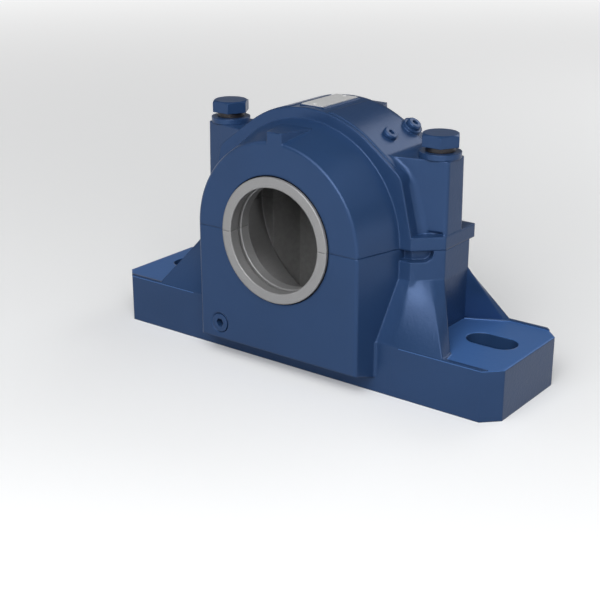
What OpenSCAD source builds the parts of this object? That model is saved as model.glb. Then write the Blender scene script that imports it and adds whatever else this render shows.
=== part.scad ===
// Split plummer block: a two-piece cast bearing housing on bolted feet.
// Millimetres. +X runs along the base plate, +Y towards the rear opening, +Z up.
// The origin is on the ground, under the middle of the shaft.

/* [Base plate] */
// Distance from a foot slot's middle to the plate's end
slot_end = 32.5; // [28:0.5:36]
// Width of the base plate
plate_w = 97.4; // [94:0.2:100]
// Height of the feet
foot_h = 38.5; // [34:0.5:42]
// Chamfer on the plate's corners, in plan
plate_corner = 11.5; // [6:0.5:14]
// Distance between the middles of the two foot slots
slot_pitch = 280; // [274:1:284]
// Width of a foot slot
slot_w = 22; // [16:0.5:26]
// Length of a foot slot, end to end
slot_l = 39; // [30:1:42]
// Place of the foot slots behind the shaft's middle plane
slot_y = 4; // [0:0.5:6]
// Depth of the machined seat round a foot slot
pad_cut = 1; // [0.5:0.5:2]
// Width of the cast lip left along the foot's long edges
foot_lip = 3.2; // [2:0.1:5]

/* [Shaft opening] */
// Height of the shaft's axis, which is also the parting plane
shaft_h = 103; // [100:0.5:106]
// Diameter of the shaft opening
bore_d = 78; // [70:1:84]
// Outside diameter of the machined ring round the opening
ring_d = 93.2; // [90:0.2:100]
// How far the ring stands out of the end face
ring_proud = 2; // [1:0.5:4]
// Width of the relief groove round the ring
relief_w = 0.9; // [0.5:0.1:2]
// Depth of the relief groove
relief_t = 1.2; // [0.5:0.1:3]
// Diameter of the seal groove
seal_groove_d = 88; // [86:1:94]
// Width of the seal groove
seal_groove_w = 3.5; // [2:0.5:6]
// Width of the outer land, from the ring's face to the seal groove
outer_land = 8.6; // [6:0.2:10]
// Width of the inner land, behind the seal groove
inner_land = 8.9; // [6:0.1:12]

/* [Bearing space] */
// Diameter of the bearing seat
seat_d = 160; // [150:1:162]
// Width of the bearing seat
seat_w = 40; // [34:1:46]
// Half-width of the grease space beside the seat
space_half = 69; // [60:1:70]
// Half-width of the grease space at the end walls
space_end_half = 63; // [56:1:64]
// Height of the grease space's floor
sump_z = 19; // [17:1:22]

/* [Drum] */
// Distance between the two painted end faces
drum_l = 133.2; // [128:0.2:140]
// Half-width of the drum at its end faces
drum_face_half = 71.2; // [70:0.1:74]
// How far the drum stays inside the crown where it meets the body
drum_back_drop = 8; // [6:0.1:10]
// Rounding of the drum's front edge
drum_edge_r = 2.8; // [1:0.1:4]
// Height of the base drum's underside at its end face
drum_z = 15.8; // [12:0.2:18]
// Height of the base drum's underside at the plate's long face
drum_root_z = 11; // [8:0.2:16]
// Fillet between the drum and the foot's long face
drum_fillet = 2.5; // [2:0.5:10]
// Width of the centre mark on top of the drum's end
mark_w = 12.6; // [8:0.2:16]
// Width of the centre mark where it runs out
mark_back_w = 26; // [20:1:30]
// Length of the centre mark along the shaft, where it runs out
mark_l = 26.43; // [20:0.01:34]

/* [Body] */
// Width of the body between its two rims
body_w = 58; // [54:0.5:60]
// Wall of the cap's crown over the bearing seat
crown_wall = 9.3; // [8:0.1:11]
// Width of the plain rim left beside a raised panel of the cap
rim_w = 3.5; // [2:0.5:6]
// Height of the cap's raised panels over the rims
panel_step = 0.8; // [0.5:0.1:1.5]
// Half-width of the plain strip between the two panels, on top of the crown
panel_start = 17; // [12:1:24]
// Angle above the axis at which the crown runs out into its shoulder
shoulder_angle = 53; // [50:1:58]
// Height of the shoulder's corner above the axis
shoulder_h = 51; // [49:0.5:54]
// Rounding of the shoulder's corner
shoulder_r = 12; // [4:1:16]
// How far inside the cap bolts' line the cap's flanks start, at the flange
flank_in = 3.7; // [2:0.1:5]

/* [Flange] */
// Thickness of the cap's flange
flange_t = 9.7; // [8:0.1:12]
// Distance from a cap bolt's axis to the flange's end
flange_end = 14.5; // [13:0.5:18]
// Half-length of the flange's front edge
flange_front_half = 90.8; // [90:0.1:94]
// Distance from the shaft's middle plane to the end of the front chamfer
flange_front_y = 12; // [8:1:16]
// Small chamfer on the flange's rear corners
flange_rear_cut = 1; // [0.5:0.5:6]
// Height of the base's head under the flange
head_h = 21.3; // [16:0.1:26]
// Length of the base's end face behind the shaft's middle plane
head_rear_y = 21; // [16:1:24]
// Half-length of the base's rear edge
head_rear_half = 98; // [94:1:100]
// Height of a pry slot under the flange
pry_h = 8.3; // [5:0.1:10]
// Depth of a pry slot
pry_d = 6.5; // [4:0.5:8]
// Length of a pry slot along the chamfer
pry_l = 16; // [12:0.5:20]
// Rounding of the pry slot's outer end
pry_r = 6.5; // [3:0.5:7]

/* [Corner webs] */
// Half-length of a web's foot along the plate's long edge
web_foot_half = 131; // [126:1:136]
// Half-length of the crease in the web's front, at its foot
web_crease_half = 90; // [84:1:100]
// Half-length of the inner corner of the web's end
web_end_half = 128.5; // [122:0.5:134]
// How far the web's end reaches outwards along the shaft from its top
web_end_out = 22.5; // [18:0.5:24]
// How far the end wall widens along the shaft from its top to its foot
wall_out = 10.2; // [4:0.2:14]
// Half-length of the end wall at its foot
wall_foot_half = 102.3; // [100:0.1:108]

/* [Bolt towers] */
// Fillet between a tower's top and the cap's shoulder
tower_top_fillet = 12; // [4:1:16]
// Fillet between a tower and the cap's flank
tower_fillet = 8; // [3:1:10]
// Height of a tower's top above the axis
tower_h = 62.5; // [58:0.5:66]
// Distance from a cap bolt's axis to the tower's end at its top
tower_end = 13.5; // [12:0.5:16]
// Width of the tower's outer end
tower_end_w = 22; // [20:0.5:26]
// How fast each side of the tower widens towards the body
tower_flare = 0.213; // [0.1:0.01:0.3]
// Rounding of the tower's corners
tower_r = 3; // [1:0.5:5]
// How much wider the tower is on each side at its foot
tower_draft = 0.6; // [0:0.1:1.5]
// Diameter of the round relief in front of a tower's foot
relief_d = 17; // [12:1:24]
// Height of the relief over the flange
relief_h = 2.4; // [1:0.1:4]
// How deep the relief goes into the tower
relief_in = 1.6; // [0.5:0.1:3]

/* [Cap bolts] */
// Distance from the bearing seat to a cap bolt's axis
bolt_wall = 14; // [13:0.25:16]
// Diameter of a cap bolt
bolt_d = 16; // [12:1:17]
// Gap round the bolt in the cap
bolt_gap = 0.75; // [0.3:0.05:1]
// Width across flats of the bolt's head
bolt_af = 25.5; // [22:0.5:27]
// Height of the bolt's head
bolt_head_h = 8.8; // [8:0.1:12]
// Diameter of the collar under the head
collar_d = 21; // [18:0.5:22]
// Height of the collar
collar_h = 4.1; // [1:0.1:5]
// Length of the bolt in the base
bolt_grip = 28; // [20:1:34]
// Diameter of a washer
washer_d = 30; // [26:0.5:32]
// Thickness of a washer
washer_t = 4; // [2:0.5:5]

/* [Dowel pins] */
// Diameter of a dowel pin
dowel_d = 8; // [5:0.5:9]
// Length of a dowel pin
dowel_l = 20; // [14:1:24]
// How far outside the cap bolts' line the dowel pins sit
dowel_out = 2; // [-1:0.5:4]
// Place of the dowel pins behind the shaft's middle plane
dowel_y = 21; // [19:0.5:22]

/* [Plugs] */
// Diameter of a grease plug's head
lube_head_d = 11; // [9:0.5:13]
// Height of a grease plug's head
lube_head_h = 3; // [2:0.5:4]
// Diameter of a grease plug's shank
lube_shank_d = 6.6; // [5:0.2:8]
// Angle above the axis at which the grease plugs sit
lube_angle = 53.5; // [50:0.5:58]
// Place of the middle grease plug along the shaft
lube_mid_y = -2.5; // [-8:0.5:0]
// Place of the rear grease plug along the shaft
lube_rear_y = 26.5; // [22:0.5:27]
// Diameter of the boss under the rear grease plug
lube_boss_d = 15; // [14:1:18]
// Height of the boss over the panel
lube_boss_h = 2.4; // [1:0.2:4]
// Diameter of the drain plug
drain_d = 14; // [10:0.5:16]
// Length of the drain plug
drain_l = 12; // [8:1:14]
// Place of the drain plug left of the shaft
drain_x = -53; // [-56:1:-48]
// Height of the drain plug
drain_z = 28; // [26:0.5:32]
// Width across flats of the plugs' sockets
socket_af = 5; // [3:0.5:6]

/* [Plate] */
// Width of the plate on the crown
label_w = 19; // [14:1:24]
// Distance from a rivet to the plate's end
label_end = 3; // [2.5:0.5:6]
// Thickness of the plate
label_t = 0.8; // [0.4:0.1:1.5]
// Diameter of a rivet's head
rivet_d = 3.2; // [2:0.2:4]
// Distance between the two rivets
rivet_pitch = 37; // [32:1:39]

/* [Hidden] */
$fn = 96;
// Cuts run past the faces that they open by this much
past = 1;
// Clearance between pieces that fit in each other
fit_gap = 0.05;
// Most degrees that one step of a rounded corner turns
arc_step = 9;
PAINT = "SteelBlue";
STEEL = "Silver";
ALU = "Gainsboro";

plate_l = slot_pitch + 2 * slot_end;
bolt_pitch = seat_d + 2 * bolt_wall;
crown_r = seat_d / 2 + crown_wall;
drum_back_half = crown_r - drum_back_drop;
flank_half = bolt_pitch / 2 - flank_in;
tower_half = bolt_pitch / 2 + tower_end;
flange_half = bolt_pitch / 2 + flange_end;
dowel_half = bolt_pitch / 2 + dowel_out;
label_l = rivet_pitch + 2 * label_end;
drum_y = drum_l / 2;
body_y = body_w / 2;
seat_y = seat_w / 2;
ring_y = drum_y + ring_proud;
groove_y = ring_y - outer_land;
inner_y = groove_y - seal_groove_w - inner_land;
plate_y = plate_w / 2;
flange_top = shaft_h + flange_t;
head_z = shaft_h - head_h;
tower_top = shaft_h + tower_h;
washer_top = tower_top + washer_t;
head_bottom = washer_top + collar_h;
panel_r = crown_r + panel_step;
label_z = shaft_h + crown_r + 0.3;
far = 2 * plate_l;

function unit(v) = v / norm(v);
function turned(v, a) = [v.x * cos(a) - v.y * sin(a), v.x * sin(a) + v.y * cos(a)];
function mixed(a, b, t) = a * (1 - t) + b * t;

// A straight line from a to b in n parts, without its end
function divided(a, b, n) = [for (i = [0:n - 1]) mixed(a, b, i / n)];

// Points of one corner, [x, y, radius], rounded by an arc between its neighbours
function corner_arc(before, p, after) =
    let (here = [p.x, p.y],
         a = unit([before.x, before.y] - here),
         b = unit([after.x, after.y] - here),
         half = acos(a * b) / 2,
         turn = 180 - 2 * half,
         side = sign(cross(-a, b)),
         centre = here + unit(a + b) * p[2] / sin(half),
         start = here + a * p[2] / tan(half) - centre,
         steps = ceil(turn / arc_step))
    [for (i = [0:steps]) centre + turned(start, side * turn * i / steps)];

// An outline whose corners are [x, y] or [x, y, radius]
function rounded(points) =
    let (n = len(points))
    [for (i = [0:n - 1])
        each (len(points[i]) < 3 ? [points[i]] : corner_arc(points[(i + n - 1) % n], points[i], points[(i + 1) % n]))];

// The right half of an outline, given from bottom to top, joined to its mirror image
function mirrored_x(points) =
    let (n = len(points))
    concat(points, [for (i = [n - 1:-1:0]) if (points[i].x > 0)
        len(points[i]) < 3 ? [-points[i].x, points[i].y] : [-points[i].x, points[i].y, points[i][2]]]);

// How far out the straight shoulder of a crown of radius r is, at a height above the axis
function shoulder_x(r, h) = (r - h * sin(shoulder_angle)) / cos(shoulder_angle);

// How far out the flank is at a height above the axis
function flank_x(h) =
    mixed(flank_half, shoulder_x(crown_r, shoulder_h), (h - flange_t) / (shoulder_h - flange_t));

// The round crown of radius r between two angles, in x and z
function crown_arc(r, a0, a1) =
    let (steps = ceil((a1 - a0) / 2.5))
    [for (i = [0:steps]) let (a = mixed(a0, a1, i / steps)) [r * cos(a), shaft_h + r * sin(a)]];

// The cap's front outline, in x and z
cap_outline = rounded(mirrored_x(concat(
    [[flank_half, shaft_h], [flank_half, flange_top], [shoulder_x(crown_r, shoulder_h), shaft_h + shoulder_h, shoulder_r]],
    crown_arc(crown_r, shoulder_angle, 90))));

// A raised panel between the crown's top and the right shoulder, in x and z
panel_outline =
    let (low = shoulder_h + 3,
         full = shoulder_h + 10,
         inside = crown_r - 4)
    concat([[shoulder_x(crown_r - 1, low), shaft_h + low], [shoulder_x(crown_r, low) - 0.05, shaft_h + low],
            [shoulder_x(panel_r, full), shaft_h + full]],
           crown_arc(panel_r, shoulder_angle, acos(panel_start / panel_r)),
           [[panel_start, shaft_h + sqrt(inside * inside - panel_start * panel_start)]]);

// A slab between two planes across the shaft, drawn in x and z
module slab_y(y0, y1) {
    translate([0, y1, 0]) rotate([90, 0, 0]) linear_extrude(y1 - y0) children();
}

// A body turned about the shaft's axis, drawn as radius and y
module turned_y() {
    translate([0, 0, shaft_h]) rotate([-90, 0, 0]) rotate_extrude() children();
}

// A cylinder on the shaft's axis
module shaft_hole(d, y0, y1) {
    translate([0, y0, shaft_h]) rotate([-90, 0, 0]) cylinder(h = y1 - y0, d = d);
}

// A solid through level outlines with as many points each, given as [height, outline] from the bottom up.
// With fan, its ends are fans of triangles from each outline's last point.
module lofted(levels, fan = false) {
    n = len(levels[0][1]);
    last = len(levels) - 1;
    points = [for (level = levels) for (p = level[1]) [p.x, p.y, level[0]]];
    sides = [for (k = [0:last - 1]) for (i = [0:n - 1])
        let (j = (i + 1) % n) each [[k * n + i, (k + 1) * n + i, (k + 1) * n + j], [k * n + i, (k + 1) * n + j, k * n + j]]];
    bottom = fan ? [for (i = [0:n - 3]) [n - 1, i, i + 1]] : [[for (i = [0:n - 1]) i]];
    top = fan ? [for (i = [0:n - 3]) [n - 1, i + 1, i] + last * n * [1, 1, 1]] : [[for (i = [n - 1:-1:0]) last * n + i]];
    polyhedron(points, concat(bottom, sides, top));
}

module above_axis() {
    intersection() {
        children();
        translate([-far / 2, -far / 2, shaft_h]) cube([far, far, far]);
    }
}

module both_ends() {
    children();
    mirror([0, 1, 0]) children();
}

module both_sides() {
    children();
    mirror([1, 0, 0]) children();
}

module hexagon(af) {
    circle(d = af / cos(30), $fn = 6);
}

// The opening through both end walls, with its seal grooves and relief grooves
module shaft_opening() {
    shaft_hole(bore_d, -ring_y - past, ring_y + past);
    both_ends() {
        shaft_hole(seal_groove_d, -groove_y, -groove_y + seal_groove_w);
        difference() {
            shaft_hole(ring_d + 2 * relief_w, -drum_y - past, -drum_y + relief_t);
            shaft_hole(ring_d, -ring_y - past, -drum_y + relief_t + past);
        }
    }
}

// The round drum of the cap, with its ends and rings
module cap_drum() {
    turned_y() polygon(rounded(concat([[0, -drum_y], [drum_face_half, -drum_y, drum_edge_r], [drum_back_half, -body_y]],
                                      [[drum_back_half, body_y], [drum_face_half, drum_y, drum_edge_r], [0, drum_y]])));
    shaft_hole(ring_d, -ring_y, ring_y);
}

// The centre mark on top of one end of the drum
module centre_mark() {
    run_out = drum_y - mark_l;
    mark_h = drum_half_at(run_out);
    translate([0, 0, shaft_h + drum_face_half / 2]) linear_extrude(mark_h - drum_face_half / 2)
        polygon([[-mark_w / 2, -drum_y], [mark_w / 2, -drum_y],
                 [mark_back_w / 2, -run_out], [-mark_back_w / 2, -run_out]]);
}

// The space inside the cap
module cap_space() {
    shaft_hole(seat_d, -seat_y, seat_y);
    turned_y() polygon([[0, -inner_y], [space_end_half, -inner_y], [space_half, -seat_y],
                        [space_half, seat_y], [space_end_half, inner_y], [0, inner_y]]);
}

module flange_plan() {
    polygon([[-flange_front_half, -body_y], [flange_front_half, -body_y],
             [flange_half, -flange_front_y], [flange_half, body_y - flange_rear_cut],
             [flange_half - flange_rear_cut, body_y], [flange_rear_cut - flange_half, body_y],
             [-flange_half, body_y - flange_rear_cut], [-flange_half, -flange_front_y]]);
}

// Half the tower's width at a distance from the shaft
function tower_half_w(x) = tower_end_w / 2 + (tower_half - x) * tower_flare;

// One tower's outline: it starts just under the skin, blends into it, and is wider by a draft on each side
function tower_outline(skin_x, draft) =
    let (root_x = skin_x - 0.2,
         reach = body_y - 0.4,
         root_half = tower_half_w(root_x) + draft)
    rounded([[root_x - 4, -reach], [root_x, -reach], [root_x, -root_half, tower_fillet],
             [tower_half + draft, -tower_end_w / 2 - draft, tower_r],
             [tower_half + draft, tower_end_w / 2 + draft, tower_r],
             [root_x, root_half, tower_fillet], [root_x, reach], [root_x - 4, reach]]);

// One tower at a height above the axis
function tower_level(h, skin_x) = [shaft_h + h, tower_outline(skin_x, tower_draft * (1 - h / tower_h))];

// A tower under its flat top, which slopes softly up to the cap's shoulder
module tower() {
    foot = flange_t - 1;
    below = shoulder_h - 6;
    above = shoulder_h + 4;
    high = tower_h + 6;
    skin_r = panel_r - 0.1;
    intersection() {
        lofted([tower_level(foot, flank_x(foot)), tower_level(below, flank_x(below)),
                tower_level(above, shoulder_x(crown_r, above)), tower_level(high, shoulder_x(crown_r, high))]);
        slab_y(-body_y, body_y)
            polygon(rounded([[flank_half / 2, shaft_h], [flange_half, shaft_h], [flange_half, tower_top],
                             [shoulder_x(skin_r, tower_h), tower_top, tower_top_fillet],
                             [shoulder_x(skin_r, high + past), shaft_h + high + past],
                             [flank_half / 2, shaft_h + high + past]]));
    }
}

module cap_body() {
    slab_y(-body_y, body_y) polygon(cap_outline);
    both_sides() slab_y(rim_w - body_y, body_y - rim_w) polygon(panel_outline);
    translate([0, 0, shaft_h]) linear_extrude(flange_t) flange_plan();
    at_grease_plug(lube_rear_y, 0) translate([0, 0, -lube_boss_h]) cylinder(h = 2 * lube_boss_h, d = lube_boss_d);
}

// Where a grease plug goes through the skin, with its own Z axis pointing out
module at_grease_plug(y, proud) {
    translate([0, y, shaft_h]) rotate([0, 90 - lube_angle, 0]) translate([0, 0, panel_r + proud]) children();
}

// The round relief cut into the front and rear of a tower's foot, down to the flange
module tower_relief() {
    x = bolt_pitch / 2 + relief_d / 2 - 1;
    both_ends() translate([x, relief_in - tower_half_w(x) - relief_d / 2, flange_top])
        cylinder(h = relief_h, d = relief_d);
}

module cap_holes() {
    both_sides() {
        tower_relief();
        translate([bolt_pitch / 2, 0, shaft_h - past])
            cylinder(h = tower_h + 2 * past, d = bolt_d + 2 * bolt_gap);
        translate([dowel_half, dowel_y, shaft_h - past])
            cylinder(h = dowel_l / 2 + past + fit_gap, d = dowel_d + 2 * fit_gap);
    }
    for (y = [lube_mid_y, lube_rear_y])
        at_grease_plug(y, 0) translate([0, 0, space_end_half - panel_r])
            cylinder(h = panel_r - space_end_half + lube_boss_h + past, d = lube_shank_d + 2 * fit_gap);
}

module cap() {
    color(PAINT) difference() {
        union() {
            above_axis() {
                cap_drum();
                cap_body();
            }
            both_ends() centre_mark();
            both_sides() tower();
            translate([-label_w / 2 - 1, -label_l / 2 - 1, shaft_h + crown_r - 5])
                cube([label_w + 2, label_l + 2, label_z - shaft_h - crown_r + 5]);
        }
        shaft_opening();
        cap_space();
        cap_holes();
        for (y = [-rivet_pitch, rivet_pitch] / 2)
            translate([0, y, label_z - 3]) cylinder(h = 3 + past, d = rivet_d / 2 + 2 * fit_gap);
    }
}

module plate_plan() {
    half = plate_l / 2;
    polygon([[plate_corner - half, -plate_y], [half - plate_corner, -plate_y],
             [half, plate_corner - plate_y], [half, plate_y - plate_corner],
             [half - plate_corner, plate_y], [plate_corner - half, plate_y],
             [-half, plate_y - plate_corner], [-half, plate_corner - plate_y]]);
}

// Half-width of the drum's straight flank at a distance from the middle plane
function drum_half_at(y) =
    drum_face_half + (drum_back_half - drum_face_half) * (drum_y - y) / (drum_y - body_y);

// The base drum in plan, with the fillets that run into the plate's long faces
module base_drum_plan() {
    tail = drum_half_at(plate_y) + drum_fillet;
    corner = [[drum_face_half, -drum_y, drum_edge_r], [drum_half_at(plate_y), -plate_y, drum_fillet], [tail, -plate_y]];
    front = rounded(concat([[0, -drum_y]], corner, [[tail, 0]]));
    polygon(mirrored_x(front));
}

// All that lies over the drum's sloping underside at one end
module over_underside() {
    slope = (drum_root_z - drum_z) / (drum_y - plate_y);
    translate([-far / 2, 0, 0]) rotate([90, 0, 90]) linear_extrude(far)
        polygon([[-drum_y - past, drum_z - past * slope], [-plate_y / 2, drum_z + (drum_y - plate_y / 2) * slope],
                 [-plate_y / 2, shaft_h], [-drum_y - past, shaft_h]]);
}

// The drum's flanks above the feet
module base_drum_top_plan() {
    polygon(rounded(mirrored_x([[drum_face_half, -drum_y, drum_edge_r], [drum_back_half, -body_y], [drum_back_half, 0]])));
}

module head_plan() {
    polygon([[-flange_front_half, -body_y], [flange_front_half, -body_y],
             [flange_half, -flange_front_y], [flange_half, head_rear_y],
             [head_rear_half, body_y], [-head_rear_half, body_y],
             [-flange_half, head_rear_y], [-flange_half, -flange_front_y]]);
}

// The trunk between the feet and the head
module trunk() {
    function outline(half, out) =
        [[-flange_front_half, -body_y], [flange_front_half, -body_y],
         [half, -flange_front_y - out], [half, head_rear_y + out],
         [head_rear_half, body_y], [-head_rear_half, body_y],
         [-half, head_rear_y + out], [-half, -flange_front_y - out]];
    lofted([[foot_h - pad_cut - past, outline(wall_foot_half, wall_out)], [head_z, outline(flange_half, 0)]]);
}

// The front right corner web, from the head's corner down to the plate's edge. Its front is flat
// beside the drum and twists beyond the crease, from the head's chamfer to the plate's long edge.
module corner_web(start_half, end_y) {
    parts = 8;
    inside_x = drum_half_at(plate_y) - 2;
    back_y = 2 - end_y;
    chamfer = [[start_half, -body_y], mixed([start_half, -body_y], [flange_half, -end_y], 0.6)];
    lower = [[inside_x, -plate_y], [web_crease_half, -plate_y], [web_foot_half, -plate_y],
             [web_end_half, -end_y - web_end_out], [wall_foot_half - 1, 1.5 - end_y - wall_out], [inside_x, back_y]];
    upper = [[drum_back_half - 2, -body_y], chamfer[0], chamfer[1],
             [flange_half, -end_y], [flange_half - 2, 3 - end_y], [drum_back_half - 2, back_y]];
    function outline(t) =
        let (p = [for (i = [0:5]) mixed(lower[i], upper[i], t)])
        concat([p[0]], divided(p[1], p[2], parts), divided(p[2], p[3], 3), divided(p[3], p[4], 4), [p[4], p[5]]);
    lofted([for (k = [0:parts]) [mixed(foot_h - pad_cut, head_z, k / parts), outline(k / parts)]], fan = true);
}

// The bearing seat is a saddle across the base, with a grease space in front of it and one behind
module base_space() {
    shaft_hole(seat_d, -seat_y, seat_y);
    both_ends() translate([0, 0, sump_z]) linear_extrude(shaft_h + past - sump_z)
        polygon([[-space_end_half, -inner_y], [space_end_half, -inner_y], [space_half, -seat_y], [-space_half, -seat_y]]);
}

// A slot through a foot and the machined seat round it
module foot_cuts() {
    translate([slot_pitch / 2, slot_y, -past]) linear_extrude(foot_h + 2 * past) {
        square([slot_l - slot_w, slot_w], center = true);
        for (x = [-1, 1] * (slot_l - slot_w) / 2) translate([x, 0]) circle(d = slot_w);
    }
    pad_y = plate_y - foot_lip;
    edge = 0.5;
    function beside_web(end_y, side) =
        [[wall_foot_half, side * (end_y + wall_out - 1)],
         [web_end_half + edge, side * (end_y + web_end_out - edge)],
         [web_foot_half + edge, side * max(pad_y, end_y + web_end_out)],
         [plate_l / 2 + past, side * max(pad_y, end_y + web_end_out)]];
    rear = beside_web(head_rear_y, 1);
    translate([0, 0, foot_h - pad_cut]) linear_extrude(pad_cut + past)
        polygon(concat(beside_web(flange_front_y, -1), [for (i = [3:-1:0]) rear[i]]));
}

// The notch under the flange's front chamfer for a pry bar, with a rounded outer end
module pry_slot() {
    along = unit([flange_half - flange_front_half, body_y - flange_front_y]);
    inwards = [-along.y, along.x] * pry_d;
    corner = [flange_front_half, -body_y];
    reach = corner + along * (pry_l + past);
    intersection() {
        translate([0, 0, shaft_h - pry_h]) linear_extrude(pry_h + past)
            polygon([[drum_back_half, -body_y - past], corner + [past / 2, -past], reach - inwards / pry_d,
                     reach + inwards, [flange_front_half - 3, pry_d - body_y], [drum_back_half, pry_d - body_y]]);
        translate([corner.x, corner.y, shaft_h]) rotate([0, 0, atan2(along.y, along.x)]) translate([0, 2 * pry_d, 0])
            rotate([90, 0, 0]) linear_extrude(4 * pry_d)
                polygon(rounded([[-2 * pry_l, -pry_h - past], [0, -pry_h - past], [0, -pry_h], [pry_l, -pry_h, pry_r],
                                 [pry_l, 2 * past], [-2 * pry_l, 2 * past]]));
    }
}

module base_holes() {
    both_sides() {
        foot_cuts();
        pry_slot();
        translate([bolt_pitch / 2, 0, shaft_h - bolt_grip - 2])
            cylinder(h = bolt_grip + 2 + past, d = bolt_d + 2 * fit_gap);
        translate([dowel_half, dowel_y, shaft_h - dowel_l / 2 - fit_gap])
            cylinder(h = dowel_l / 2 + past + fit_gap, d = dowel_d + 2 * fit_gap);
    }
    translate([drain_x, -drum_y - past, drain_z]) rotate([-90, 0, 0]) {
        cylinder(h = drum_y - inner_y + 2 * past, d = drain_d - 3);
        cylinder(h = drain_l + past, d = drain_d + 2 * fit_gap);
        cylinder(h = past + 1, d1 = drain_d + 6, d2 = drain_d + 2 * fit_gap);
    }
}

module base() {
    color(PAINT) difference() {
        union() {
            linear_extrude(foot_h) plate_plan();
            both_ends() {
                intersection() {
                    linear_extrude(foot_h) base_drum_plan();
                    over_underside();
                }
                intersection() {
                    linear_extrude(shaft_h) base_drum_top_plan();
                    union() {
                        over_underside();
                        translate([-far / 2, -plate_y / 2 - past, foot_h / 2]) cube([far, far, shaft_h]);
                    }
                }
            }
            trunk();
            translate([0, 0, head_z]) linear_extrude(head_h) head_plan();
            both_sides() {
                corner_web(flange_front_half, flange_front_y);
                mirror([0, 1, 0]) corner_web(head_rear_half, head_rear_y);
            }
            difference() {
                shaft_hole(ring_d, -ring_y, ring_y);
                translate([-far / 2, -far / 2, shaft_h]) cube([far, far, far]);
            }
        }
        shaft_opening();
        base_space();
        base_holes();
    }
}

module cap_bolt() {
    color(PAINT) {
        translate([0, 0, shaft_h - bolt_grip]) cylinder(h = head_bottom - shaft_h + bolt_grip, d = bolt_d);
        translate([0, 0, washer_top]) cylinder(h = collar_h, d = collar_d);
        translate([0, 0, head_bottom]) intersection() {
            linear_extrude(bolt_head_h) hexagon(bolt_af);
            cylinder(h = bolt_head_h, r1 = bolt_af / 2 + bolt_head_h / tan(30), r2 = bolt_af / 2 - 0.6);
        }
    }
}

module washer() {
    color(PAINT) translate([0, 0, tower_top]) difference() {
        cylinder(h = washer_t, d = washer_d);
        translate([0, 0, -past]) cylinder(h = washer_t + 2 * past, d = bolt_d + 1);
    }
}

module dowel_pin() {
    color(STEEL) translate([dowel_half, dowel_y, shaft_h - dowel_l / 2]) cylinder(h = dowel_l, d = dowel_d);
}

// A grease plug with a round head and a hexagonal socket
module grease_plug(y, proud) {
    color(PAINT) at_grease_plug(y, proud) difference() {
        union() {
            translate([0, 0, -8]) cylinder(h = 8 + past / 2, d = lube_shank_d);
            cylinder(h = lube_head_h - 0.8, d = lube_head_d);
            translate([0, 0, lube_head_h - 0.8]) cylinder(h = 0.8, d1 = lube_head_d, d2 = lube_head_d - 1.6);
        }
        translate([0, 0, lube_head_h - 2.2]) linear_extrude(2.2 + past) hexagon(socket_af - 1);
    }
}

module drain_plug() {
    color(PAINT) translate([drain_x, -drum_y, drain_z]) rotate([-90, 0, 0]) difference() {
        cylinder(h = drain_l, d = drain_d);
        translate([0, 0, -past]) linear_extrude(6 + past) hexagon(socket_af + 1);
    }
}

module nameplate() {
    color(ALU) translate([0, 0, label_z]) linear_extrude(label_t) difference() {
        square([label_w, label_l], center = true);
        for (y = [-rivet_pitch, rivet_pitch] / 2) translate([0, y]) circle(d = rivet_d / 2 + 2 * fit_gap);
    }
}

module nameplate_rivet(y) {
    color(ALU) translate([0, y, label_z]) {
        translate([0, 0, -2.5]) cylinder(h = 2.5 + label_t, d = rivet_d / 2);
        translate([0, 0, label_t]) cylinder(h = 0.6, d1 = rivet_d, d2 = rivet_d * 0.6);
    }
}

base();
cap();
translate([-bolt_pitch / 2, 0, 0]) cap_bolt();  // cap_bolt_left
translate([bolt_pitch / 2, 0, 0]) cap_bolt();  // cap_bolt_right
translate([-bolt_pitch / 2, 0, 0]) washer();  // washer_left
translate([bolt_pitch / 2, 0, 0]) washer();  // washer_right
mirror([1, 0, 0]) dowel_pin();  // dowel_pin_left
dowel_pin();  // dowel_pin_right
grease_plug(lube_mid_y, 0);  // grease_plug_middle
grease_plug(lube_rear_y, lube_boss_h);  // grease_plug_rear
drain_plug();
nameplate();
nameplate_rivet(-rivet_pitch / 2);  // nameplate_rivet_front
nameplate_rivet(rivet_pitch / 2);  // nameplate_rivet_rear
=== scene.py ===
"""The looks of a split plummer block: blue enamel on grey cast iron, with machined faces left bare.

It is laid out as an add-on and run as a script. Sizes are in metres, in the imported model's frame.
"""

import math

import bmesh
import bpy
from bpy.props import FloatProperty, FloatVectorProperty, PointerProperty
from mathutils import Matrix, Vector

bl_info = {
    "name": "Split Plummer Block Looks",
    "version": (1, 0, 0),
    "blender": (4, 5, 0),
    "location": "View3D > Sidebar > Plummer Block",
    "description": "Finishes, stage and lights for a split plummer block housing",
    "category": "Object",
}

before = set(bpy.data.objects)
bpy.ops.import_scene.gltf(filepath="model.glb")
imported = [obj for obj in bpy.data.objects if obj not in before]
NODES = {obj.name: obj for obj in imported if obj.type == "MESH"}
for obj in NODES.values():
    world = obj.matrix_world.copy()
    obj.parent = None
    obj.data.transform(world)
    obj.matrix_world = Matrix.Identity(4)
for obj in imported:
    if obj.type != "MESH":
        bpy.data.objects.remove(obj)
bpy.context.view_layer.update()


def linear(r, g, b):
    """A colour given as screen values of 0 to 255, as the linear values that a shader takes."""
    return [v / 12.92 if v <= 0.04045 else ((v + 0.055) / 1.055) ** 2.4
            for v in (r / 255, g / 255, b / 255)]


# The casting. A radius is measured from the shaft's axis, and y from the housing's middle.
SHAFT_HEIGHT = 0.103
PAINTED_FACE_Y = 0.0666
RING_RADIUS = 0.0466
BORE_RADIUS = 0.039
SPACE_RADIUS = 0.0725
SPACE_END_Y = 0.0476
SUMP_HALF_WIDTH = 0.0692
SUMP_FLOOR = 0.0188
SEAT_RADIUS = 0.080
SEAT_END_Y = 0.020
PAD_HEIGHT = 0.0375
PAD_START_X = 0.095
ROUGH_START_X = 0.089

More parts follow.
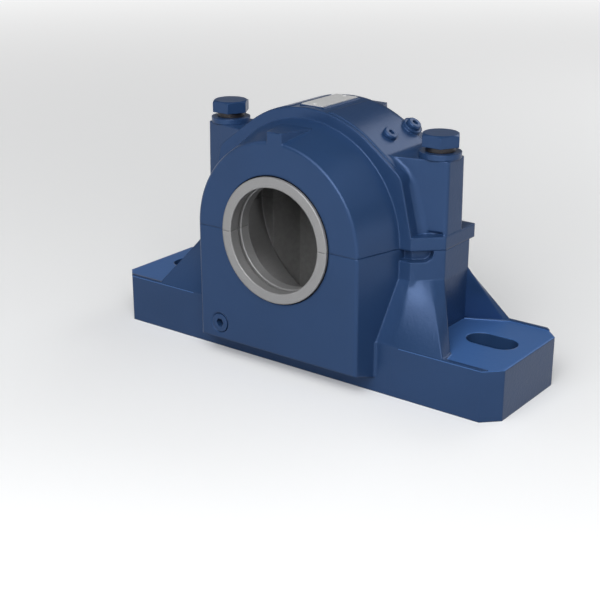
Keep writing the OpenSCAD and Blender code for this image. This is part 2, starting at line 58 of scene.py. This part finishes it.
# Its zones, each as a range of radius and a range of y, on both sides of the middle. Each of them
# reaches a little past its own faces. FAR is farther than any face.
FAR = 1.0
RING_ZONE = (BORE_RADIUS - 0.002, RING_RADIUS + 0.0002), (PAINTED_FACE_Y - 0.0008, FAR)
END_WALL_ZONE = (-FAR, RING_RADIUS - 0.001), (SPACE_END_Y - 0.0003, PAINTED_FACE_Y)
SEAT_ZONE = (SEAT_RADIUS - 0.0006, SEAT_RADIUS + 0.0004), (-FAR, SEAT_END_Y + 0.0002)
SEAT_STEP_ZONE = (-FAR, SEAT_RADIUS + 0.0012), (-FAR, SEAT_END_Y + 0.0003)
SPACE_ZONE = (-FAR, SPACE_RADIUS), (-FAR, SPACE_END_Y + 0.0001)
# The groove's zone takes painted shade: a near-black colour for the shadow in the groove round the
# ring
GROOVE_SHADE_ZONE = ((RING_RADIUS - 0.0001, RING_RADIUS + 0.0011),
               (PAINTED_FACE_Y - 0.002, PAINTED_FACE_Y - 0.0001))
# The sump is a box, and a pad a range of height
SUMP_ZONE_END_Y = SPACE_END_Y + 0.0001
PAD_ZONE = PAD_HEIGHT - 0.0003, PAD_HEIGHT + 0.0003

# The bare collar under a cap bolt's head, as a range of height a little inside its own ends
WASHER_TOP = 0.1695
COLLAR_TOP = 0.1736
COLLAR_ZONE = WASHER_TOP + 0.0002, COLLAR_TOP - 0.0002

# How far apart the clouds, grains and bumps of a finish lie
CLOUD_SIZE = 0.045
IRON_GRAIN_SIZE = 0.0009
RAW_GRAIN_SIZE = 0.004
CAST_GRAIN_SIZE = 0.0021
PIN_GRAIN_SIZE = 0.0008
PLATE_GRAIN_SIZE = 0.0005

# How deep a bump is: the first three as shares of the orange peel's depth, the others in metres
CAST_GRAIN_DEPTH = 1.8
IRON_GRAIN_DEPTH = 0.3
FASTENER_PEEL = 0.7
PIN_GRAIN_DEPTH = 0.00001
PLATE_GRAIN_DEPTH = 0.000008

# The darkest and the lightest tone of a finish, as shares of its colour
ENAMEL_TONES = (0.96, 1.04)
MACHINED_TONES = (0.80, 1.12)
RAW_TONES = (0.75, 1.15)
# or as colours
PIN_TONES = linear(150, 150, 152), linear(190, 190, 192)
PLATE_TONES = linear(198, 199, 200), linear(222, 222, 222)

# Bare steel of the collar under a bolt's head, darkened as painted shade for the shade that falls
# under the head
SHADED_COLLAR_COLOUR = linear(62, 60, 62)

# Where on the noise the enamel's clouds begin and end, and how much they change its roughness
CLOUD_RANGE = (0.3, 0.7)
CLOUD_ROUGHNESS = 0.08

# Roughness where a grain is 0, and how much the grain adds
IRON_ROUGHNESS = (0.42, 0.12)
PIN_ROUGHNESS = (0.28, 0.1)
PLATE_ROUGHNESS = (0.38, 0.1)

MACHINED_METALLIC = 0.55
COLLAR_METALLIC = 0.6
PLATE_METALLIC = 0.2

FASTENER_EDGE = 0.0007
PLATE_EDGE = 0.0003
PLATE_BRUSHING = (1.0, 0.08, 1.0)

# Shares of the grain and of the turning marks in the shine of a turned face
GRAIN_SHARE, TURNING_SHARE = 0.6, 0.4
# Distance between a wave texture's rings at a scale of 1
WAVE_PITCH = 0.314

# Where some outputs and inputs stand in their nodes' lists
OBJECT_COORDINATE = 3
WAVE_FACTOR = 1
CAMERA_RAY, GLOSSY_RAY, TRANSMISSION_RAY = 0, 3, 6
# A Mix node's first input, second input and output
MIX_SOCKETS = {"FLOAT": (2, 3, 0), "RGBA": (6, 7, 2)}

SOFTENER = "soft_facets"
SHARP_ANGLE = math.radians(24)
MERGE_DISTANCE = 0.000002

FLOOR_RADIUS = 14
FLOOR_SEGMENTS = 96
BACKDROP_HEIGHT = 2.0
# The floor glows by GLOW_NEAR up to the range's start, and by GLOW_RISE more beyond its end
GLOW_RANGE = (0.2, 2.2)
GLOW_NEAR, GLOW_RISE = 0.1, 0.66
BLACK, WHITE = (0, 0, 0), (1, 1, 1)

SENSOR_WIDTH = 36
CLIP_START, CLIP_END = 0.01, 50

OBJECT_MIDDLE = Vector((0, 0, 0.08))
LAMP_DISTANCE = 1.4
# Each softbox: its name, which way it lies from the object, its width and height, and its watts
SOFTBOXES = (
    ("key_softbox", (0.20, -0.78, 0.56), (1.2, 0.9), 7.5),
    ("overhead_softbox", (0.05, -0.45, 0.90), (1.2, 0.8), 5.0),
    ("camera_side_softbox", (0.45, -0.70, 0.60), (1.0, 0.8), 8.0),
    ("front_right_softbox", (0.75, -0.55, 0.35), (1.0, 0.8), 1.9),
    ("right_softbox", (0.93, 0.33, 0.14), (1.0, 0.5), 0.4),
    ("back_right_softbox", (0.62, 0.34, 0.70), (1.0, 1.0), 1.3),
    ("back_softbox", (0.25, 0.93, 0.60), (0.9, 0.6), 3.5),
    ("left_softbox", (-0.75, -0.35, 0.5), (1.0, 1.0), 1.5),
)


class EnamelProperties(bpy.types.PropertyGroup):
    """Colour and surface of the blue enamel."""

    colour: FloatVectorProperty(
        name="Colour", description="The enamel's own colour",
        subtype="COLOR", size=3, min=0, max=1, default=linear(43, 70, 110),
    )
    roughness: FloatProperty(
        name="Roughness", description="How dull the enamel is",
        default=0.3, min=0.05, max=1, subtype="FACTOR",
    )
    gloss: FloatProperty(
        name="Gloss", description="Strength of the enamel's reflections",
        default=0.27, min=0, max=1, subtype="FACTOR",
    )
    # Painted light: the enamel on the feet's up-facing pads is made paler for the light that falls
    # on them from above
    pad_painted_light: FloatProperty(
        name="Pad Lift", description="How much paler the enamel lies on the feet's machined pads",
        default=2.5, min=1, max=4, subtype="FACTOR",
    )
    flake: FloatProperty(
        name="Flake", description="How much of the enamel's gloss takes its colour",
        default=0.25, min=0, max=1, subtype="FACTOR",
    )
    peel_size: FloatProperty(
        name="Orange Peel Size", description="Distance between the bumps of the enamel",
        default=0.0032, min=0.0005, max=0.02, unit="LENGTH",
    )
    peel_depth: FloatProperty(
        name="Orange Peel Depth", description="Height of the bumps of the enamel",
        default=0.00006, min=0, max=0.001, unit="LENGTH",
    )
    edge_radius: FloatProperty(
        name="Edge Radius", description="Rounding that the enamel gives to the casting's edges",
        default=0.0018, min=0, max=0.005, unit="LENGTH",
    )


class BareIronProperties(bpy.types.PropertyGroup):
    """Colours of the turned faces, of the raw casting inside, and of the painted shade in the
    groove round the ring.
    """

    machined: FloatVectorProperty(
        name="Machined Iron", description="The turned ring, bore and seat",
        subtype="COLOR", size=3, min=0, max=1, default=linear(160, 160, 161),
    )
    raw: FloatVectorProperty(
        name="Raw Casting", description="The walls of the grease spaces",
        subtype="COLOR", size=3, min=0, max=1, default=linear(150, 150, 150),
    )
    # Painted shade: a near-black colour for the shadow in the groove round the ring
    groove_shade: FloatVectorProperty(
        name="Groove", description="The dark bottom of the groove round the ring",
        subtype="COLOR", size=3, min=0, max=1, default=linear(22, 26, 34),
    )
    turning_pitch: FloatProperty(
        name="Turning Pitch", description="Distance between the turning marks",
        default=0.0006, min=0.0001, max=0.005, unit="LENGTH",
    )


class StageProperties(bpy.types.PropertyGroup):
    """Floor, sky and camera."""

    floor: FloatVectorProperty(
        name="Floor", description="The floor's colour",
        subtype="COLOR", size=3, min=0, max=1, default=linear(236, 237, 238),
    )
    floor_bounce: FloatProperty(
        name="Floor Bounce", description="Share of the floor's colour that lights the object",
        default=0.25, min=0, max=1, subtype="FACTOR",
    )
    sky: FloatProperty(
        name="Sky Strength", description="Light from all round",
        default=0.1, min=0, max=2,
    )
    lens: FloatProperty(
        name="Lens", description="Focal length of the camera",
        default=75.5, min=20, max=200, unit="CAMERA",
    )
    camera_place: FloatVectorProperty(
        name="Camera Place", description="Where the camera stands",
        subtype="TRANSLATION", size=3, unit="LENGTH", default=(0.52653, -0.73796, 0.37786),
    )
    camera_azimuth: FloatProperty(
        name="Camera Azimuth", description="Turn of the camera round the object",
        subtype="ANGLE", default=math.radians(36.884),
    )
    camera_elevation: FloatProperty(
        name="Camera Elevation", description="Height of the camera above the horizon",
        subtype="ANGLE", default=math.radians(20.546),
    )


class PlummerBlockProperties(bpy.types.PropertyGroup):
    """All the settings of the housing's looks."""

    enamel: PointerProperty(type=EnamelProperties)
    bare_iron: PointerProperty(type=BareIronProperties)
    stage: PointerProperty(type=StageProperties)


def settings():
    """The settings that the scene holds."""
    return bpy.context.scene.plummer_block


class Value:
    """A number that flows between nodes; a sum or comparison with it adds a Math node."""

    def __init__(self, shader, socket):
        self.shader, self.socket = shader, socket

    def _math(self, operation, a, b=None, clamp=False):
        inputs = {0: a} if b is None else {0: a, 1: b}
        options = {"operation": operation, "use_clamp": clamp}
        return self.shader.node("ShaderNodeMath", options, inputs)[0]

    def __add__(self, other): return self._math("ADD", self, other)
    def __radd__(self, other): return self._math("ADD", other, self)
    def __sub__(self, other): return self._math("SUBTRACT", self, other)
    def __rsub__(self, other): return self._math("SUBTRACT", other, self)
    def __mul__(self, other): return self._math("MULTIPLY", self, other)
    def __rmul__(self, other): return self._math("MULTIPLY", other, self)
    def __truediv__(self, other): return self._math("DIVIDE", self, other)
    def __rtruediv__(self, other): return self._math("DIVIDE", other, self)
    def __gt__(self, other): return self._math("GREATER_THAN", self, other)
    def __lt__(self, other): return self._math("LESS_THAN", self, other)
    def __abs__(self): return self._math("ABSOLUTE", self)
    def root(self): return self._math("SQRT", self)
    def clamped(self): return self._math("ADD", self, 0.0, clamp=True)

    def inside(self, low, high):
        """1 between low and high, and 0 elsewhere."""
        return (self > low) * (self < high)

    def ramped(self, low, high):
        """0 at low, 1 at high and even between."""
        return ((self - low) / (high - low)).clamped()


class Shader:
    """One material and the nodes in it."""

    SURFACE_INPUTS = {
        "colour": "Base Color", "roughness": "Roughness", "metallic": "Metallic",
        "specular": "Specular IOR Level", "normal": "Normal",
        "glow": "Emission Color", "glow_strength": "Emission Strength",
    }

    def __init__(self, name):
        self.material = bpy.data.materials.new(name)
        self.material.use_nodes = True
        self.tree = self.material.node_tree
        self.tree.nodes.clear()
        self.output = self.tree.nodes.new("ShaderNodeOutputMaterial")

    def node(self, kind, options=None, inputs=None):
        """Adds a node, sets its options and then its inputs, and returns its outputs as Values."""
        made = self.tree.nodes.new(kind)
        for name, value in (options or {}).items():
            setattr(made, name, value)
        for key, value in (inputs or {}).items():
            if isinstance(value, Value):
                self.tree.links.new(value.socket, made.inputs[key])
            else:
                made.inputs[key].default_value = value
        return [Value(self, output) for output in made.outputs]

    def place(self):
        """Object coordinates, and their x, y and z."""
        coordinate = self.node("ShaderNodeTexCoord")[OBJECT_COORDINATE]
        return coordinate, self.node("ShaderNodeSeparateXYZ", inputs={0: coordinate})

    def noise(self, vector, size, detail=2.0, roughness=0.5):
        """Noise of that size in metres, from 0 to 1."""
        return self.node("ShaderNodeTexNoise", inputs={
            "Vector": vector, "Scale": 1 / size, "Detail": detail, "Roughness": roughness})[0]

    def _mix(self, kind, factor, a, b):
        first, second, result = MIX_SOCKETS[kind]
        inputs = {0: factor, first: a, second: b}
        return self.node("ShaderNodeMix", {"data_type": kind}, inputs)[result]

    def mixed(self, factor, a, b):
        """Colour a where factor is 0, and b where it is 1."""
        a, b = (c if isinstance(c, Value) else (*c, 1) for c in (a, b))
        return self._mix("RGBA", factor, a, b)

    def blended(self, factor, a, b):
        """Number a where factor is 0, and b where it is 1."""
        return self._mix("FLOAT", factor, a, b)

    def bump(self, height, depth, normal=None):
        """A normal disturbed by a height of 0 to 1, which is depth metres high."""
        inputs = {"Height": height, "Distance": depth, "Strength": 1.0}
        if normal is not None:
            inputs["Normal"] = normal
        return self.node("ShaderNodeBump", inputs=inputs)[0]

    def rounded(self, radius):
        """A normal that rounds the edges by radius."""
        return self.node("ShaderNodeBevel", {"samples": 8}, {"Radius": radius})[0]

    def finish(self, **inputs):
        """The material, with these inputs on a Principled surface."""
        values = {self.SURFACE_INPUTS[name]: value for name, value in inputs.items()}
        surface = self.node("ShaderNodeBsdfPrincipled", inputs=values)[0]
        self.tree.links.new(surface.socket, self.output.inputs["Surface"])
        return self.material


def tones(colour, shares):
    """The colour once for each share, multiplied by it."""
    return [[min(1, c * share) for c in colour] for share in shares]


def enamel_look(shader, vector, strength=1.0):
    """Colour, roughness and bump height of the enamel."""
    enamel = settings().enamel
    cloud = shader.noise(vector, CLOUD_SIZE, detail=3)
    colour = shader.mixed(cloud.ramped(*CLOUD_RANGE), *tones(enamel.colour, ENAMEL_TONES))
    peel = shader.noise(vector, enamel.peel_size, detail=2, roughness=0.45)
    roughness = enamel.roughness + (cloud - 0.5) * CLOUD_ROUGHNESS
    return colour, roughness, peel * strength


def bare_iron_look(shader, vector, machined):
    """Colour of the bare iron, turned where machined is 1 and raw elsewhere, and its grain."""
    iron = settings().bare_iron
    grain = shader.noise(vector, IRON_GRAIN_SIZE, detail=3, roughness=0.6)
    from_shaft = shader.node(
        "ShaderNodeVectorMath", {"operation": "SUBTRACT"},
        {0: vector, 1: (0.0, 0.0, SHAFT_HEIGHT)})[0]
    turning = shader.node(
        "ShaderNodeTexWave",
        {"wave_type": "RINGS", "rings_direction": "Y", "wave_profile": "SIN"},
        {"Vector": from_shaft, "Scale": WAVE_PITCH / iron.turning_pitch, "Distortion": 1.2,
         "Detail": 2.0, "Detail Scale": 1.5})[WAVE_FACTOR]
    shine = grain * GRAIN_SHARE + turning * TURNING_SHARE
    turned = shader.mixed(shine, *tones(iron.machined, MACHINED_TONES))
    raw_grain = shader.noise(vector, RAW_GRAIN_SIZE, detail=4)
    raw = shader.mixed(raw_grain, *tones(iron.raw, RAW_TONES))
    return shader.mixed(machined, raw, turned), grain


def casting_masks(x, y, z):
    """Where the casting is machined, where it is bare, the ring's groove that takes painted shade,
    and the feet's pads.
    """
    side, depth, height = abs(x), abs(y), z - SHAFT_HEIGHT
    radius = (x * x + height * height).root()

    def zone(radii, depths):
        return radius.inside(*radii) * depth.inside(*depths)

    machined = (zone(*RING_ZONE) + zone(*END_WALL_ZONE) + zone(*SEAT_ZONE)).clamped()
    sump = (side < SUMP_HALF_WIDTH) * z.inside(SUMP_FLOOR, SHAFT_HEIGHT) * (depth < SUMP_ZONE_END_Y)
    bare = (machined + zone(*SPACE_ZONE) + zone(*SEAT_STEP_ZONE) + sump).clamped()
    pad = z.inside(*PAD_ZONE) * (side > PAD_START_X)
    return machined, bare, zone(*GROOVE_SHADE_ZONE), pad


def casting_material(name):
    """Blue enamel outside, turned iron on the ring, bores and seat, and raw iron inside."""
    shader = Shader(name)
    enamel, iron = settings().enamel, settings().bare_iron
    vector, (x, y, z) = shader.place()
    machined, bare, groove_shade, pad = casting_masks(x, y, z)

    paint, paint_roughness, peel = enamel_look(shader, vector)
    iron_colour, grain = bare_iron_look(shader, vector, machined)
    # Painted light: the pads take a paler copy of the enamel for the light from above
    [pad_lit_colour] = tones(enamel.colour, [enamel.pad_painted_light])
    colour = shader.mixed(bare, shader.mixed(pad, paint, pad_lit_colour), iron_colour)
    # Painted shade: the groove round the ring is coloured near-black for the shadow in it
    colour = shader.mixed(groove_shade, colour, iron.groove_shade)

    rough = (abs(x) > ROUGH_START_X) * (1 - pad)
    cast = shader.noise(vector, CAST_GRAIN_SIZE, detail=3, roughness=0.6)
    painted_height = shader.blended(rough, peel, peel + cast * CAST_GRAIN_DEPTH)
    height = shader.blended(bare, painted_height, grain * IRON_GRAIN_DEPTH)
    smoothest, grain_share = IRON_ROUGHNESS
    return shader.finish(
        colour=colour,
        roughness=shader.blended(bare, paint_roughness, smoothest + grain * grain_share),
        metallic=shader.blended(bare, enamel.flake, machined * MACHINED_METALLIC),
        specular=enamel.gloss,
        normal=shader.bump(height, enamel.peel_depth, shader.rounded(enamel.edge_radius)))


def fastener_material(name, bare=None):
    """Blue enamel on a fastener, with bare steel between the two heights in bare, darkened there as
    painted shade.
    """
    shader = Shader(name)
    enamel = settings().enamel
    vector, (_, _, z) = shader.place()
    colour, roughness, height = enamel_look(shader, vector, FASTENER_PEEL)
    metallic = enamel.flake
    if bare:
        band = z.inside(*bare)
        # Painted shade: the bare collar under the head is coloured dark for the shade that falls
        # there
        colour = shader.mixed(band, colour, SHADED_COLLAR_COLOUR)
        metallic = shader.blended(band, metallic, COLLAR_METALLIC)
    return shader.finish(
        colour=colour, roughness=roughness, metallic=metallic, specular=enamel.gloss,
        normal=shader.bump(height, enamel.peel_depth, shader.rounded(FASTENER_EDGE)))


def pin_material():
    """Ground steel for the dowel pins."""
    shader = Shader("ground_steel")
    vector, _ = shader.place()
    grain = shader.noise(vector, PIN_GRAIN_SIZE)
    smoothest, grain_share = PIN_ROUGHNESS
    return shader.finish(
        colour=shader.mixed(grain, *PIN_TONES), metallic=1.0,
        roughness=smoothest + grain * grain_share, normal=shader.bump(grain, PIN_GRAIN_DEPTH))


def plate_material():
    """Pale bare metal, with a fine brushed grain along the plate's length."""
    shader = Shader("pale_plate")
    vector, _ = shader.place()
    brushed = shader.node(
        "ShaderNodeMapping", inputs={"Vector": vector, "Scale": PLATE_BRUSHING})[0]
    grain = shader.noise(brushed, PLATE_GRAIN_SIZE, detail=3)
    smoothest, grain_share = PLATE_ROUGHNESS
    return shader.finish(
        colour=shader.mixed(grain, *PLATE_TONES), metallic=PLATE_METALLIC,
        roughness=smoothest + grain * grain_share,
        normal=shader.bump(grain, PLATE_GRAIN_DEPTH, shader.rounded(PLATE_EDGE)))


def facet_softener():
    """Geometry nodes that merge a mesh's points, and shade it smooth except at its edges."""
    if SOFTENER in bpy.data.node_groups:
        return bpy.data.node_groups[SOFTENER]
    tree = bpy.data.node_groups.new(SOFTENER, "GeometryNodeTree")
    for way in ("INPUT", "OUTPUT"):
        tree.interface.new_socket("Geometry", in_out=way, socket_type="NodeSocketGeometry")
    start, merge, faces, edges, angle, sharp, end = (tree.nodes.new(kind) for kind in (
        "NodeGroupInput", "GeometryNodeMergeByDistance", "GeometryNodeSetShadeSmooth",
        "GeometryNodeSetShadeSmooth", "GeometryNodeInputMeshEdgeAngle", "FunctionNodeCompare",
        "NodeGroupOutput"))
    merge.inputs["Distance"].default_value = MERGE_DISTANCE
    sharp.operation = "GREATER_THAN"
    compared, limit = sharp.inputs[:2]
    limit.default_value = SHARP_ANGLE
    edges.domain = "EDGE"
    edges.inputs["Shade Smooth"].default_value = False
    tree.links.new(angle.outputs[0], compared)
    tree.links.new(sharp.outputs[0], edges.inputs["Selection"])
    for source, target in ((start, merge), (merge, faces), (faces, edges), (edges, end)):
        tree.links.new(source.outputs[0], target.inputs[0])
    return tree


def give(material, *nodes):
    """Shows the material on these CAD nodes, with their curved faces shaded smooth."""
    for node in nodes:
        piece = NODES[node]
        piece.data.materials.clear()
        piece.data.materials.append(material)
        piece.modifiers.new(SOFTENER, "NODES").node_group = facet_softener()
        weighted = piece.modifiers.new("flat_faces_first", "WEIGHTED_NORMAL")
        weighted.mode, weighted.keep_sharp = "FACE_AREA", True


class PLUMMER_OT_castings(bpy.types.Operator):
    """Paint the base and the cap, and leave their machined and inner faces bare"""

    bl_idname = "plummer.castings"
    bl_label = "Castings"

    def execute(self, context):
        give(casting_material("casting_enamel"), "base", "cap")
        return {"FINISHED"}


class PLUMMER_OT_fasteners(bpy.types.Operator):
    """Paint the cap bolts, washers and plugs, and finish the dowel pins"""

    bl_idname = "plummer.fasteners"
    bl_label = "Fasteners"

    def execute(self, context):
        give(fastener_material("bolt_enamel", COLLAR_ZONE), "cap_bolt_left", "cap_bolt_right")
        give(fastener_material("plug_enamel"), "washer_left", "washer_right",
             "grease_plug_middle", "grease_plug_rear", "drain_plug")
        give(pin_material(), "dowel_pin_left", "dowel_pin_right")
        return {"FINISHED"}


class PLUMMER_OT_nameplate(bpy.types.Operator):
    """Finish the bare plate on the crown and its rivets"""

    bl_idname = "plummer.nameplate"
    bl_label = "Plate"

    def execute(self, context):
        give(plate_material(), "nameplate", "nameplate_rivet_front", "nameplate_rivet_rear")
        return {"FINISHED"}


class PLUMMER_OT_stage(bpy.types.Operator):
    """Make the floor, the lamps, the sky and the camera"""

    bl_idname = "plummer.stage"
    bl_label = "Stage"

    def execute(self, context):
        stage = settings().stage
        self.make_floor(stage)
        self.make_sky(stage)
        for softbox in SOFTBOXES:
            self.make_softbox(*softbox)
        self.make_camera(stage)
        context.scene.view_settings.view_transform = "Standard"
        return {"FINISHED"}

    def make_floor(self, stage):
        """A round paper floor with a low backdrop round its rim."""
        shape = bmesh.new()
        bmesh.ops.create_circle(shape, cap_ends=True, segments=FLOOR_SEGMENTS, radius=FLOOR_RADIUS)
        rim = bmesh.ops.extrude_edge_only(shape, edges=shape.edges[:])["geom"]
        corners = [part for part in rim if isinstance(part, bmesh.types.BMVert)]
        bmesh.ops.translate(shape, verts=corners, vec=(0, 0, BACKDROP_HEIGHT))
        mesh = bpy.data.meshes.new("floor")
        shape.to_mesh(mesh)
        shape.free()
        mesh.materials.append(self.floor_material(stage))
        floor = bpy.data.objects.new("floor", mesh)
        bpy.context.scene.collection.objects.link(floor)

    def floor_material(self, stage):
        """Pale paper that glows towards its rim, and sends less light back than it seems to."""
        shader = Shader("floor_paper")
        ray = shader.node("ShaderNodeLightPath")
        seen = (ray[CAMERA_RAY] + ray[GLOSSY_RAY] + ray[TRANSMISSION_RAY]).clamped()
        x, y, _ = shader.place()[1]
        distance = (x * x + y * y).root()
        glow = seen * (GLOW_NEAR + distance.ramped(*GLOW_RANGE) * GLOW_RISE)
        bounced = [c * stage.floor_bounce for c in stage.floor]
        return shader.finish(
            colour=shader.mixed(seen, bounced, stage.floor), roughness=0.8, specular=0.2,
            glow=shader.mixed(glow, BLACK, WHITE), glow_strength=1.0)

    def make_sky(self, stage):
        """Even white light from all round."""
        world = bpy.data.worlds.new("sky")
        bpy.context.scene.world = world
        world.use_nodes = True
        background = world.node_tree.nodes["Background"]
        background.inputs["Color"].default_value = (*WHITE, 1)
        background.inputs["Strength"].default_value = stage.sky

    def make_softbox(self, name, way, size, power):
        """A rectangular lamp that looks at the object's middle."""
        light = bpy.data.lights.new(name, "AREA")
        light.shape, light.size, light.size_y = "RECTANGLE", *size
        light.energy = power
        lamp = bpy.data.objects.new(name, light)
        place = OBJECT_MIDDLE + Vector(way).normalized() * LAMP_DISTANCE
        lamp.location = place
        lamp.rotation_mode = "QUATERNION"
        lamp.rotation_quaternion = (OBJECT_MIDDLE - place).to_track_quat("-Z", "Y")
        bpy.context.scene.collection.objects.link(lamp)

    def make_camera(self, stage):
        """The camera, at the photograph's angle."""
        data = bpy.data.cameras.new("camera")
        data.lens, data.sensor_width = stage.lens, SENSOR_WIDTH
        data.clip_start, data.clip_end = CLIP_START, CLIP_END
        camera = bpy.data.objects.new("camera", data)
        azimuth, elevation = stage.camera_azimuth, stage.camera_elevation
        back = Vector((math.cos(elevation) * math.sin(azimuth),
                       -math.cos(elevation) * math.cos(azimuth),
                       math.sin(elevation)))
        right = Vector((math.cos(azimuth), math.sin(azimuth), 0))
        turn = Matrix((right, back.cross(right), back)).transposed()
        camera.matrix_world = Matrix.Translation(stage.camera_place) @ turn.to_4x4()
        bpy.context.scene.collection.objects.link(camera)
        bpy.context.scene.camera = camera


class PLUMMER_PT_panel(bpy.types.Panel):
    """The housing's settings and steps in the sidebar"""

    bl_idname = "PLUMMER_PT_panel"
    bl_label = "Plummer Block"
    bl_space_type = "VIEW_3D"
    bl_region_type = "UI"
    bl_category = "Plummer Block"

    def draw(self, context):
        looks = settings()
        for title, group in (
                ("Enamel", looks.enamel), ("Bare Iron", looks.bare_iron), ("Stage", looks.stage)):
            box = self.layout.box()
            box.label(text=title)
            for name in group.__annotations__:
                box.prop(group, name)
        for operator in OPERATORS:
            self.layout.operator(operator.bl_idname)


GROUPS = (EnamelProperties, BareIronProperties, StageProperties, PlummerBlockProperties)
OPERATORS = (PLUMMER_OT_castings, PLUMMER_OT_fasteners, PLUMMER_OT_nameplate, PLUMMER_OT_stage)
CLASSES = (*GROUPS, *OPERATORS, PLUMMER_PT_panel)


def register():
    for cls in CLASSES:
        bpy.utils.register_class(cls)
    bpy.types.Scene.plummer_block = PointerProperty(type=PlummerBlockProperties)


def unregister():
    del bpy.types.Scene.plummer_block
    for cls in reversed(CLASSES):
        bpy.utils.unregister_class(cls)


def main():
    register()
    bpy.ops.plummer.castings()
    bpy.ops.plummer.fasteners()
    bpy.ops.plummer.nameplate()
    bpy.ops.plummer.stage()


if __name__ == "__main__":
    main()
